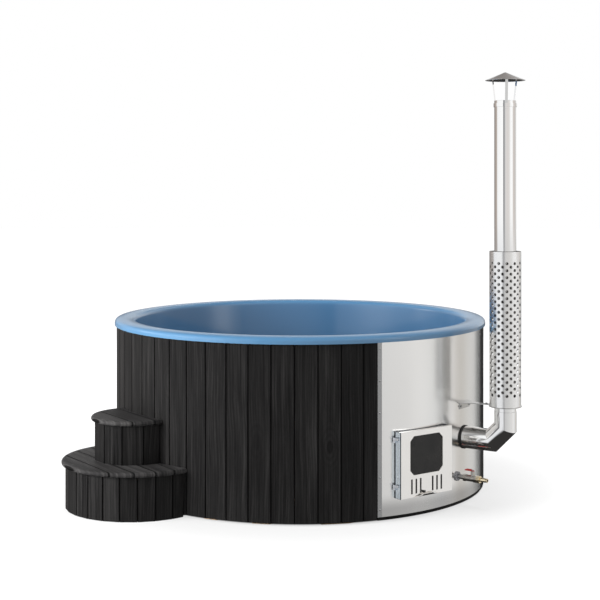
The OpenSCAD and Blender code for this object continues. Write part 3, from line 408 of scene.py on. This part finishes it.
BOARDS = wood_round("stained_boards", (0, 0), BOARD_COUNT, CLAD_TURN - 2 * pi, TUB_R)
LOW_STAVES = wood_round("stained_staves_low", centre_of(STEP_TURN, LOW_STEP_D), LOW_STAVE_COUNT, STEP_TURN, LOW_STEP_R)
HIGH_STAVES = wood_round("stained_staves_high", centre_of(STEP_TURN, HIGH_STEP_D), HIGH_STAVE_COUNT, STEP_TURN,
                         HIGH_STEP_R)
LOW_PLANKS = wood_flat("stained_planks_low", STEP_TURN, LOW_PLANK, LOW_STEP_D, 3.2)
HIGH_PLANKS = wood_flat("stained_planks_high", STEP_TURN, HIGH_PLANK, HIGH_STEP_D, 3.2)
PLINTH = wood_flat("stained_plinth", 0.0, 0.9, 0.6, 0.8)
SOFTWOOD = plain_softwood()
LINER = liner_with_painted_shade()
# The satin panel carries a painted reflection of the floor's shadow along its foot
SATIN = panel_painted_reflection(metal("satin_steel", (0.86, 0.86, 0.85), 0.21, bands=0.1, brushed="level", depth=0.00002,
                           smudge=0.04))
STRAP_STEEL = metal("strap_steel", (0.55, 0.55, 0.54), 0.25)
HINGE_STEEL = metal("hinge_steel", (0.74, 0.76, 0.80), 0.24, bands=0.2, depth=0.00002)
SCREW_STEEL = metal("screw_steel", (0.50, 0.51, 0.52), 0.5, depth=0.00001)
TRIM_STEEL = metal("trim_steel", (0.35, 0.355, 0.36), 0.28, bands=0.2, depth=0.00002)
DOOR_STEEL = door_painted_light(metal("door_steel", (0.90, 0.885, 0.865), 0.22, bands=0.1, brushed="up", depth=0.00002,
                               smudge=0.04))
POLISHED, PIPE_STEEL = [metal(name, (0.95, 0.945, 0.935), 0.05, bands=0.15, smudge=0.03, brushed="up", depth=0.00003)
                        for name in ("polished_steel", "pipe_steel")]
# Painted shade on the pipe where it runs inside the guard
pipe_painted_shade(PIPE_STEEL)
# The guard's inner face is darkened with painted shade
GUARD_STEEL = guard_painted_shade(metal("guard_steel", (0.95, 0.945, 0.93), 0.20, bands=0.3, smudge=0.05, depth=0.00003))
CAP_STEEL = metal("cap_steel", (0.93, 0.92, 0.905), 0.16, bands=0.5, smudge=0.08, depth=0.00003)
MILL = metal("mill_steel", (0.48, 0.48, 0.48), 0.38, smudge=0.2)
NICKEL = metal("dull_nickel", (0.55, 0.53, 0.50), 0.30, smudge=0.2)
BRASS = metal("brass", (0.95, 0.79, 0.55), 0.28, smudge=0.12)
IRON = metal("cast_iron", (0.07, 0.07, 0.07), 0.65, smudge=0.3, depth=0.0004)
GLASS = glass_finish()
ROPE = rope_finish()
FOAM = foam_finish()
BLACK = plastic("black_plastic", (0.02, 0.02, 0.02), 0.45)
RUBBER = plastic("black_rubber", (0.018, 0.018, 0.018), 0.6, grain=300, depth=0.0001)
GREY = plastic("grey_plastic", (0.25, 0.25, 0.26), 0.4)
RED = plastic("red_lever", (0.55, 0.03, 0.025), 0.3, coat=0.5)

FINISH_OF = {
    "floor_joists": SOFTWOOD, "floor_insulation": FOAM, "lower_hoop": SOFTWOOD, "middle_hoop": SOFTWOOD,
    "upper_hoop": SOFTWOOD, "plinth_strip": PLINTH, "panel_battens": SOFTWOOD, "cladding_boards": BOARDS,
    "tub_liner": LINER, "steel_panel": SATIN, "panel_trims": TRIM_STEEL, "panel_screws": SCREW_STEEL,
    "stove_stand": MILL,
    "fire_chamber": MILL, "water_jacket": MILL, "smoke_box": MILL, "fire_grate": IRON, "ash_pan": MILL,
    "water_pipes": MILL, "water_grilles": SATIN, "door_frame": DOOR_STEEL, "hinge_leaves": HINGE_STEEL,
    "hinge_pins": POLISHED, "door_catch": MILL, "door_panel": DOOR_STEEL, "door_knuckles": HINGE_STEEL,
    "window_seal": ROPE, "window_glass": GLASS, "window_retainer": MILL, "door_rope_seal": ROPE,
    "door_lip": DOOR_STEEL, "door_striker": MILL, "slide_rails": MILL, "air_slide": MILL, "slide_knob": BLACK,
    "flue_seal": RUBBER, "flue_elbow": POLISHED, "flue_pipe": PIPE_STEEL, "flue_guard": GUARD_STEEL,
    "guard_spacers": MILL, "cap_band": POLISHED, "cap_straps": POLISHED, "rain_cap": CAP_STEEL,
    "chimney_bracket": STRAP_STEEL, "bracket_bolts": MILL, "drain_tube": GREY, "drain_strainer": SATIN,
    "drain_flange": GREY, "drain_nipple": MILL, "valve_body": NICKEL, "valve_plug": MILL, "valve_lever": RED,
    "lever_nut": MILL, "hose_tail": BRASS, "low_step_frame": SOFTWOOD, "low_step_staves": LOW_STAVES,
    "low_tread": LOW_PLANKS, "high_step_frame": SOFTWOOD, "high_step_staves": HIGH_STAVES, "high_tread": HIGH_PLANKS,
}
for name, node in NODES.items():
    node.data.materials.clear()
    node.data.materials.append(FINISH_OF[name].material)


# Ways of working
def alone(piece=None):
    """Nothing is selected but the piece."""
    bpy.ops.object.select_all(action="DESELECT")
    if piece:
        piece.select_set(True)
        bpy.context.view_layer.objects.active = piece
    return piece


@contextmanager
def editing(select="SELECT"):
    """Edit mode on the active piece, with all of it selected or none."""
    bpy.ops.object.mode_set(mode="EDIT")
    bpy.ops.mesh.select_all(action=select)
    yield
    bpy.ops.object.mode_set(mode="OBJECT")


def rounded(points, parts=8):
    """A path of (distance, height) from corners of (distance, height, radius)."""
    path = []
    for i, (x, z, r) in enumerate(points):
        if not r:
            path.append((x, z))
            continue
        here = Vector((x, z))
        a = (Vector(points[i - 1][:2]) - here).normalized()
        b = (Vector(points[i + 1][:2]) - here).normalized()
        half = a.angle(b) / 2
        centre = here + (a + b).normalized() * r / sin(half)
        start, end = here + a * r / tan(half) - centre, here + b * r / tan(half) - centre
        sweep = start.angle_signed(end)
        for k in range(parts + 1):
            c, s = cos(-sweep * k / parts), sin(-sweep * k / parts)
            path.append((centre.x + start.x * c - start.y * s, centre.y + start.x * s + start.y * c))
    return path


def turned(name, path, about=(0, 0), steps=128):
    """A piece turned on an upright axis: one point is drawn out along the path, then spun."""
    alone()
    bpy.ops.mesh.primitive_plane_add(size=0.01, location=(about[0] + path[0][0], about[1], path[0][1]))
    piece = bpy.context.active_object
    piece.name = name
    bpy.ops.object.transform_apply(location=True)
    with editing():
        bpy.ops.mesh.merge(type="CENTER")
        for (r0, z0), (r1, z1) in zip(path, path[1:]):
            bpy.ops.mesh.extrude_vertices_move(TRANSFORM_OT_translate={"value": (r1 - r0, 0, z1 - z0)})
        bpy.ops.mesh.select_all(action="SELECT")
        bpy.ops.mesh.spin(steps=steps, angle=2 * pi, center=(about[0], about[1], 0), axis=(0, 0, 1))
        tidy_faces()
    return piece


def tidy_faces(gap=1e-5):
    bpy.ops.mesh.select_all(action="SELECT")
    bpy.ops.mesh.remove_doubles(threshold=gap)
    bpy.ops.mesh.normals_make_consistent(inside=False)


def flipped(piece):
    """The piece's faces, turned the other way."""
    alone(piece)
    with editing():
        bpy.ops.mesh.flip_normals()


def joined(pieces, name, gap):
    """One piece out of several, whose edges merge within the gap."""
    alone(pieces[0])
    for piece in pieces:
        piece.select_set(True)
    bpy.ops.object.join()
    piece = bpy.context.active_object
    piece.name = name
    with editing():
        tidy_faces(gap)
    return piece


def shaped(piece, kind, **settings):
    """A modifier, applied."""
    alone(piece)
    modifier = piece.modifiers.new(kind.title(), kind)
    for key, value in settings.items():
        setattr(modifier, key, value)
    bpy.ops.object.modifier_apply(modifier=modifier.name)


def fitted(piece, node, finish, smooth=30, flats=True):
    """The piece gets its finish and goes on the body of the node that it stands for. Its flats shade flat."""
    alone(piece)
    bpy.ops.object.transform_apply(location=True, rotation=True, scale=True)
    bpy.ops.object.shade_smooth_by_angle(angle=radians(smooth))
    if flats:
        shaped(piece, "WEIGHTED_NORMAL", keep_sharp=True)
    piece.data.materials.clear()
    piece.data.materials.append(finish.material)
    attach(piece, NODES[node]["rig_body"])
    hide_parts(node)
    return piece


def eased(node, finish, width):
    """A copy of a node, merged, with its sharp edges eased and its curves smooth."""
    piece = bpy.data.objects.new(node + "_eased", NODES[node].data.copy())
    bpy.context.scene.collection.objects.link(piece)
    alone(piece)
    with editing():
        bpy.ops.mesh.remove_doubles(threshold=2e-6)
        bpy.ops.mesh.dissolve_limited(angle_limit=radians(0.2))
    if piece.data.has_custom_normals:
        bpy.ops.mesh.customdata_custom_splitnormals_clear()
    if width:
        shaped(piece, "BEVEL", width=width, segments=2, limit_method="ANGLE", angle_limit=radians(35),
               use_clamp_overlap=True, harden_normals=False)
    return fitted(piece, node, finish)


# Bath
def bath_shell():
    piece = turned("bath_shell", rounded([
        (RIM_R, RIM_FOOT, 0), (RIM_R, RIM_EDGE, 0.022), (CROWN_R, CROWN_Z, 0.2), (MOUTH_R, RIM_EDGE, 0.028),
        (BENCH_R, BENCH_Z, 0.060), (WELL_R, BENCH_Z, 0.040), (WELL_R, WELL_Z, 0.016), (0.0, WELL_Z, 0)]), steps=192)
    low = min(piece.data.polygons, key=lambda p: (round(p.center.z, 4), p.center.xy.length))
    if low.normal.z < 0:
        flipped(piece)
    shaped(piece, "SOLIDIFY", thickness=LINER_T, offset=-1, use_even_offset=True)
    return fitted(piece, "tub_liner", LINER, 40, False)


# Chimney
def chimney_pipe():
    """One tube. A ring at the guard's height keeps its long faces even, and its top edge is rounded."""
    inner = FLUE_R - FLUE_T
    path = [(inner, FLUE_FOOT), (FLUE_R, FLUE_FOOT), (FLUE_R, 1.4), (FLUE_R, FLUE_TOP - 0.0025),
            (FLUE_R, FLUE_TOP - 0.0005), (FLUE_R - 0.0007, FLUE_TOP), (inner, FLUE_TOP - 0.0005), (inner, FLUE_FOOT)]
    return fitted(turned("chimney_pipe", path, FLUE, 96), "flue_pipe", PIPE_STEEL)


def chimney_elbow():
    """Three tubes, cut on the two mitre planes and joined."""
    out = Vector((sin(FLUE_TURN), -cos(FLUE_TURN), 0))
    corners = [out * d + Vector((0, 0, z)) for d, z in (
        (ELBOW_START, ELBOW_Z), (FLUE_D - ELBOW_CUT, ELBOW_Z), (FLUE_D, ELBOW_Z + ELBOW_CUT), (FLUE_D, ELBOW_TOP))]
    ways = [(b - a).normalized() for a, b in zip(corners, corners[1:])]
    past_cut = 0.05
    tubes = []
    for i, tilt in enumerate((pi / 2, pi / 4, 0)):
        a, b, way = corners[i], corners[i + 1], ways[i]
        start = a if i == 0 else a - way * past_cut
        end = b if i == 2 else b + way * past_cut
        alone()
        bpy.ops.mesh.primitive_cylinder_add(
            vertices=80, radius=ELBOW_R, depth=(end - start).length, end_fill_type="NOTHING",
            location=(start + end) / 2, rotation=(0, tilt, atan2(out.y, out.x)))
        tube = bpy.context.active_object
        bpy.ops.object.transform_apply(location=True, rotation=True)
        with editing():
            if i > 0:
                bpy.ops.mesh.bisect(plane_co=a, plane_no=(ways[i - 1] + way).normalized(), clear_inner=True)
            if i < 2:
                bpy.ops.mesh.select_all(action="SELECT")
                bpy.ops.mesh.bisect(plane_co=b, plane_no=(way + ways[i + 1]).normalized(), clear_outer=True)
        tubes.append(tube)
    piece = joined(tubes, "chimney_elbow", 1e-4)
    shaped(piece, "SOLIDIFY", thickness=FLUE_T, offset=-1, use_even_offset=True)
    shaped(piece, "BEVEL", width=0.0016, segments=3, limit_method="ANGLE", angle_limit=radians(12))
    return fitted(piece, "flue_elbow", POLISHED)


def guard_cell(wide):
    """A hole in a cell of the sheet, with two rings round it. The outer ring is pulled out to the cell's border."""
    alone()
    bpy.ops.mesh.primitive_circle_add(vertices=16, radius=HOLE_R, rotation=(pi / 2, 0, 0), location=(0, 0, 0))
    cell = bpy.context.active_object
    bpy.ops.object.transform_apply(location=True, rotation=True)
    with editing():
        for growth in (1.15, 1.3):
            bpy.ops.mesh.extrude_region_move()
            bpy.ops.transform.resize(value=(growth, growth, growth), center_override=(0, 0, 0))
    points = cell.data.vertices
    reach = max(v.co.length for v in points)
    for v in points:
        if v.co.length > reach - 1e-5:
            t = round(atan2(v.co.z, v.co.x) / (pi / 8)) % 16
            k, share = int((t + 2) // 4) % 4, ((t + 2) % 4) / 4 - 0.5
            side = [(0.5, share), (-share, 0.5), (-0.5, -share), (share, -0.5)][k]
            v.co = (side[0] * wide, 0, side[1] * HOLE_PITCH)
    return cell


def drawn_out(piece, level, goal):
    """The border at a level is drawn out to the goal."""
    with editing("DESELECT"):
        bpy.ops.object.mode_set(mode="OBJECT")
        for v in piece.data.vertices:
            v.select = abs(v.co.z - level) < 1e-5
        for e in piece.data.edges:
            e.select = all(piece.data.vertices[i].select for i in e.vertices)
        bpy.ops.object.mode_set(mode="EDIT")
        bpy.ops.mesh.extrude_region_move(TRANSFORM_OT_translate={"value": (0, 0, goal - level)})


def chimney_guard():
    """One cell is copied up and along, in two kinds of column, and the sheet is rolled up."""
    wide = 2 * pi / HOLE_COLUMNS * GUARD_R
    cell = guard_cell(wide)
    other = cell.copy()
    other.data = cell.data.copy()
    bpy.context.scene.collection.objects.link(other)
    kinds = ((other, HOLE_ROWS, HOLE_FIRST), (cell, HOLE_ROWS - 1, HOLE_FIRST + HOLE_PITCH / 2))
    for column, (one, rows, first) in enumerate(kinds):
        alone(one)
        with editing():
            bpy.ops.transform.translate(value=(0, 0, first))
        shaped(one, "ARRAY", count=rows, use_relative_offset=False, use_constant_offset=True,
               constant_offset_displace=(0, 0, HOLE_PITCH), use_merge_vertices=True, merge_threshold=1e-5)
        drawn_out(one, first - HOLE_PITCH / 2, GUARD_FOOT)
        drawn_out(one, first + HOLE_PITCH * (rows - 0.5), GUARD_TOP)
        shaped(one, "ARRAY", count=HOLE_COLUMNS // 2, use_relative_offset=False, use_constant_offset=True,
               constant_offset_displace=(wide * 2, 0, 0))
        for v in one.data.vertices:
            t = (v.co.x + column * wide) / GUARD_R + FLUE_TURN
            v.co = (FLUE[0] + sin(t) * GUARD_R, FLUE[1] - cos(t) * GUARD_R, v.co.z)
    piece = joined([other, cell], "chimney_guard", 2e-5)
    side = piece.data.polygons[0]
    if side.normal.dot(side.center - Vector((*FLUE, side.center.z))) < 0:
        flipped(piece)
    shaped(piece, "SOLIDIFY", thickness=GUARD_T, offset=-1)
    return fitted(piece, "flue_guard", GUARD_STEEL, 40, False)


def rain_hat():
    """A cone with a rolled brim. Each corner is so far from the axis and so far above the brim or below the top."""
    low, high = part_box("rain_cap")
    r, brim, top = (high.x - low.x) / 2, low.z, high.z
    path = [(0, top), (0.004, top - 0.0005), (r - 0.002, brim + 0.0026), (r - 0.0004, brim + 0.0022),
            (r, brim + 0.0012), (r - 0.0006, brim + 0.0002), (r - 0.003, brim), (r - 0.004, brim + 0.0008),
            (0.004, top - 0.0022), (0, top - 0.0018)]
    return fitted(turned("rain_hat", path, FLUE, 96), "rain_cap", CAP_STEEL, 25)


bath_shell()
chimney_pipe()
chimney_elbow()
chimney_guard()
rain_hat()

# How wide each node's sharp edges are eased
EASED = {
    "cladding_boards": 0.0009, "plinth_strip": 0.0008, "steel_panel": 0, "panel_trims": 0.0004, "panel_screws": 0,
    "door_frame": 0.0006, "hinge_leaves": 0.0005, "hinge_pins": 0.0004, "door_catch": 0.0004, "door_panel": 0.0008,
    "door_knuckles": 0.0005, "window_glass": 0.0003, "door_lip": 0.0004, "door_striker": 0.0004, "slide_knob": 0.0008,
    "flue_seal": 0.0008, "cap_band": 0.0003, "cap_straps": 0.0003, "chimney_bracket": 0.0006, "bracket_bolts": 0.0004,
    "drain_flange": 0.0010, "drain_nipple": 0, "valve_body": 0.0007, "valve_lever": 0.0006, "lever_nut": 0.0005,
    "hose_tail": 0.0003, "low_step_staves": 0.0012, "low_tread": 0.0025, "high_step_staves": 0.0012,
    "high_tread": 0.0025, "drain_strainer": 0.0004, "water_grilles": 0.0004,
}
for node, width in EASED.items():
    eased(node, FINISH_OF[node], width)


# Floor, light and camera
# What the steel mirrors round the object, by turn in degrees: at eye height, well above it, and below it
ROOM_BANDS = [
    (-180, (0.33, 0.29, 0.27)), (-165, (0.47, 0.41, 0.37)), (-145, (0.50, 0.44, 0.40)), (-137, (0.98, 0.99, 1.0)),
    (-70, (1.08, 1.08, 1.08)), (-65, (0.24, 0.24, 0.25)), (-56, (0.30, 0.30, 0.31)), (-50, (0.60, 0.60, 0.60)),
    (-40, (0.76, 0.74, 0.73)), (-18, (0.75, 0.71, 0.69)), (0, (0.82, 0.80, 0.78)), (6, (1.0, 1.0, 1.0)),
    (36, (1.1, 1.1, 1.1)), (41, (0.68, 0.64, 0.61)), (60, (0.68, 0.63, 0.60)), (72, (0.60, 0.57, 0.55)),
    (92, (0.62, 0.60, 0.58)), (100, (0.98, 0.98, 0.97)), (118, (0.98, 0.98, 0.97)), (127, (0.34, 0.32, 0.31)),
    (150, (0.22, 0.20, 0.19)), (180, (0.33, 0.29, 0.27))]
TOP_BANDS = [
    (-180, (0.60, 0.61, 0.62)), (-156, (0.68, 0.69, 0.70)), (-146, (2.8, 2.8, 2.8)), (-139, (2.8, 2.8, 2.8)),
    (-128, (0.80, 0.81, 0.82)), (-66, (0.98, 0.99, 1.0)), (-62, (0.24, 0.24, 0.25)), (-56, (0.30, 0.30, 0.31)),
    (-50, (0.60, 0.60, 0.60)), (-40, (0.76, 0.74, 0.73)), (0, (0.82, 0.80, 0.78)), (12, (1.0, 1.0, 1.0)),
    (20, (2.4, 2.4, 2.4)), (26, (2.4, 2.4, 2.4)), (34, (1.0, 1.0, 1.0)), (39, (0.68, 0.64, 0.61)),
    (76, (0.60, 0.57, 0.55)), (90, (1.05, 1.05, 1.05)), (110, (1.05, 1.05, 1.05)), (135, (0.68, 0.69, 0.70)),
    (180, (0.60, 0.61, 0.62))]
LOW_BANDS = [
    (-180, (0.35, 0.33, 0.32)), (-140, (0.40, 0.38, 0.37)), (-130, (0.85, 0.86, 0.88)), (-66, (0.85, 0.86, 0.88)),
    (-60, (0.30, 0.30, 0.31)), (-48, (0.60, 0.60, 0.60)), (0, (0.72, 0.72, 0.71)), (20, (0.77, 0.76, 0.755)),
    (31, (0.78, 0.77, 0.76)), (38, (0.88, 0.87, 0.86)), (44, (0.88, 0.87, 0.86)), (52, (0.82, 0.82, 0.81)),
    (57, (0.80, 0.81, 0.82)), (61, (0.68, 0.69, 0.71)), (65, (0.80, 0.79, 0.79)), (69, (0.88, 0.86, 0.84)),
    (73, (0.71, 0.68, 0.65)), (77, (0.57, 0.54, 0.50)), (81, (0.59, 0.56, 0.52)), (88, (0.72, 0.71, 0.69)),
    (97, (0.71, 0.70, 0.69)), (101, (0.74, 0.73, 0.72)), (104, (0.12, 0.13, 0.13)), (110, (0.22, 0.22, 0.22)),
    (114, (0.10, 0.10, 0.10)), (180, (0.35, 0.33, 0.32))]
CEILING, GROUND, FILL = (0.17, 0.165, 0.16), (0.035, 0.034, 0.033), (0.34, 0.34, 0.34)


def stage_floor():
    """A white floor that keeps the shadow. The steel mirrors the room's bands in place of it."""
    alone()
    bpy.ops.mesh.primitive_circle_add(vertices=96, radius=40, fill_type="NGON", location=(0, 0, 0))
    floor = bpy.context.active_object
    floor.name = "studio_floor"
    f = Finish("studio_floor", Roughness=0.9, Specular_IOR_Level=0.1)
    x, y, z = f.place()
    seen, glossy = f.rays()
    from_tub, from_step = f.span(x, y), f.span(x, y, centre_of(STEP_TURN, LOW_STEP_D))
    # No glow under the tub or inside the step, and more of it farther out
    glow = seen * (from_tub.ramp(1.05, 1.08) * from_step.ramp(0.365, 0.385)) * from_tub.ramp(1.2, 2.1, 0.67, 0.98)
    f.set(Base_Color=f.mix(seen, (0.62, 0.62, 0.62), (0.16, 0.16, 0.16)))
    white = f.add("ShaderNodeEmission", None, {"Color": (1, 1, 1), "Strength": glow})
    solid = f.join("ShaderNodeAddShader", Wire(f, f.shader.outputs[0]), white)
    both = f.join("ShaderNodeMixShader", solid, f.add("ShaderNodeBsdfTransparent"), glossy)
    f.tree.links.new(both.socket, f.out.inputs[0])
    floor.data.materials.append(f.material)


class Surround(Finish):
    """The white room round the object, with the bands of light and dark that its steel mirrors."""

    def __init__(self, name):
        self.world = bpy.data.worlds.new(name)
        bpy.context.scene.world = self.world
        self.world.use_nodes = True
        self.tree = self.world.node_tree
        self.tree.nodes.clear()
        self.out = self.tree.nodes.new("ShaderNodeOutputWorld")


def stage_world():
    """The camera sees white, mirrors see the bands between a ceiling and the ground, and the rest is an even fill."""
    f = Surround("studio")
    x, y, z = f.place("Generated")
    turn = f.turn(x, y) / (2 * pi) + 0.5
    level, above, below = [f.ramp(turn, *[((degrees + 180) / 360, colour) for degrees, colour in bands])
                           for bands in (ROOM_BANDS, TOP_BANDS, LOW_BANDS)]
    mirrored = f.mix(z.ramp(-0.02, -0.07), level, below)
    mirrored = f.mix(z.ramp(0.06, 0.11) * z.ramp(0.42, 0.32), mirrored, above)
    mirrored = f.mix(z.ramp(0.64, 0.88), mirrored, CEILING)
    mirrored = f.mix(z.ramp(-0.27, -0.46), mirrored, GROUND)
    seen, glossy = f.rays()
    colour = f.mix(seen, f.mix(glossy, FILL, mirrored), (1, 1, 1))
    sky = f.add("ShaderNodeBackground", None, {"Color": colour})
    f.tree.links.new(sky.socket, f.out.inputs[0])


def lamp(name, place, target_z, size, power):
    """A square softbox that faces a place on the tub's axis. Mirrors don't show it."""
    data = bpy.data.lights.new(name, "AREA")
    data.shape, data.size, data.size_y, data.energy = "RECTANGLE", size, size, power
    obj = bpy.data.objects.new(name, data)
    bpy.context.scene.collection.objects.link(obj)
    obj.location = place
    obj.rotation_euler = (Vector((0, 0, target_z)) - Vector(place)).to_track_quat("-Z", "Y").to_euler()
    obj.visible_glossy = False


def stage_camera():
    """The view of the photo: its focal length in pixels, and the level gaze with the picture shifted down."""
    data = bpy.data.cameras.new("camera")
    focal, picture, sensor = 1329.9, 600, 36
    data.sensor_width, data.lens, data.shift_y = sensor, focal / picture * sensor, -0.20375
    data.clip_start, data.clip_end = 0.1, 200
    cam = bpy.data.objects.new("camera", data)
    bpy.context.scene.collection.objects.link(cam)
    cam.location = (-4.850, -6.436, 1.8245)
    cam.rotation_euler = (radians(90), 0, radians(-37))
    bpy.context.scene.camera = cam


stage_floor()
stage_world()
lamp("left_softbox", (-6.5, 1.3, 2.4), 0.5, 3.5, 1080)
lamp("back_softbox", (3.5, 5.5, 4.0), 0.9, 3.5, 420)
lamp("top_softbox", (1.2, -2.5, 6.0), 0.5, 5, 450)
stage_camera()
bpy.context.scene.view_settings.view_transform = "Standard"
